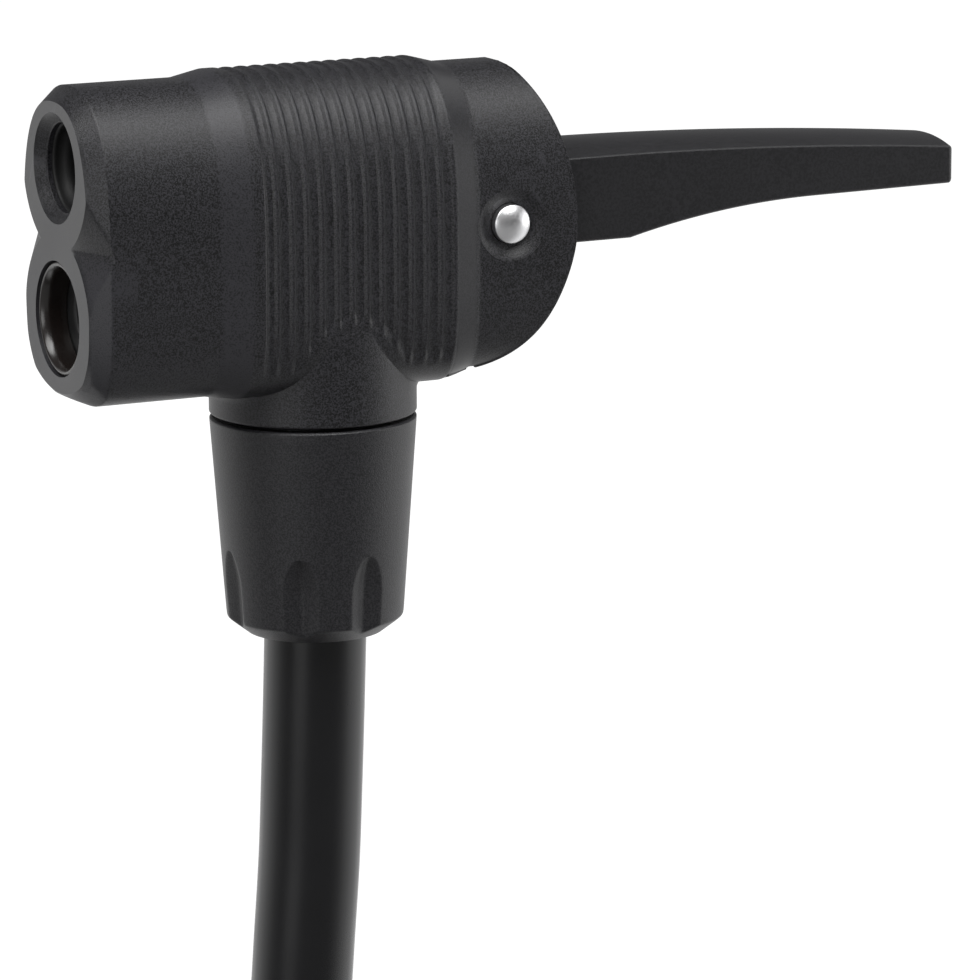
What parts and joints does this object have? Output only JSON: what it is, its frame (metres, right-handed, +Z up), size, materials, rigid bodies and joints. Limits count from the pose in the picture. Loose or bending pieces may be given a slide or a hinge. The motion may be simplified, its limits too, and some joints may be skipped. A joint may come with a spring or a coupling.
{
  "type": "portable tire inflator",
  "caption": "Tyre inflator head on a coiled air hose: Schrader and Presta ports in a ribbed body, a cam lever that clamps them on the valve, and a screwed hose nut.",
  "frame": {"origin": "centre of the Schrader port's grommet, at its outer face", "axes": "+X back along the head towards the lever's tip, +Y across the head, +Z up, with the hose leaving downwards"},
  "size_m": [0.2127, 0.1468, 0.1709],
  "materials": {
    "black_nylon": "fine satin moulded black",
    "black_rubber": "soft matte black",
    "gloss_black": "glossy black",
    "acetal": "natural white",
    "bright_steel": "bright plated steel",
    "brass": "machined brass",
    "hose_rubber": "smooth matte black rubber",
    "tie_strap": "black moulded strap",
    "crimped_steel": "zinc-plated, crimped"
  },
  "bodies": {
    "head": {"head_body": "black_nylon", "schrader_grommet": "black_rubber", "presta_grommet": "black_rubber", "presta_liner": "gloss_black", "pivot_pin": "bright_steel", "hose_barb": "brass", "barb_seal": "black_rubber", "hose_end": "hose_rubber", "hose": "hose_rubber", "hose_coil": "hose_rubber", "hose_tie": "tie_strap", "pump_end_ferrule": "crimped_steel", "pump_end_fitting": "brass", "pump_end_seal": "black_rubber"},
    "clamp": {"clamp_plunger": "acetal", "thrust_washers": "acetal", "plunger_seal": "black_rubber", "cam_plate": "bright_steel", "spring_plugs": "acetal", "schrader_spring": "bright_steel", "presta_spring": "bright_steel"},
    "schrader_opener": {"schrader_poppet": "brass", "schrader_poppet_seal": "black_rubber"},
    "presta_opener": {"presta_poppet": "brass", "presta_poppet_seal": "black_rubber"},
    "lever": {"cam_lever": "black_nylon"},
    "collet": {"hose_collet": "acetal"},
    "nut": {"hose_nut": "black_nylon"}
  },
  "joints": [
    {"name": "lever_hinge", "type": "hinge", "parent": "head", "child": "lever", "pos_m": [0.0461, 0, -0.0079], "axis": [0, 1, 0], "range_deg": [0, 90]},
    {"name": "clamp_slide", "type": "slide", "parent": "head", "child": "clamp", "axis": [1, 0, 0], "range_m": [0, 0.002]},
    {"name": "schrader_opener_slide", "type": "slide", "parent": "clamp", "child": "schrader_opener", "axis": [1, 0, 0], "range_m": [0, 0.002], "stiffness_N_per_m": 400, "springref_m": -0.002, "deforming": ["schrader_spring"]},
    {"name": "presta_opener_slide", "type": "slide", "parent": "clamp", "child": "presta_opener", "axis": [1, 0, 0], "range_m": [0, 0.002], "stiffness_N_per_m": 400, "springref_m": -0.002, "deforming": ["presta_spring"]},
    {"name": "collet_slide", "type": "slide", "parent": "head", "child": "collet", "axis": [0, 0, -1], "range_m": [0, 0.005]},
    {"name": "nut_turn", "type": "hinge", "parent": "collet", "child": "nut", "pos_m": [0.0274, 0, -0.04], "axis": [0, 0, -1], "range_deg": [0, 1200]}
  ],
  "couplings": [
    {"joint": "clamp_slide", "follows": "lever_hinge", "m_per_rad": 0.001273},
    {"joint": "nut_turn", "follows": "collet_slide", "rad_per_m": 4188.8}
  ]
}
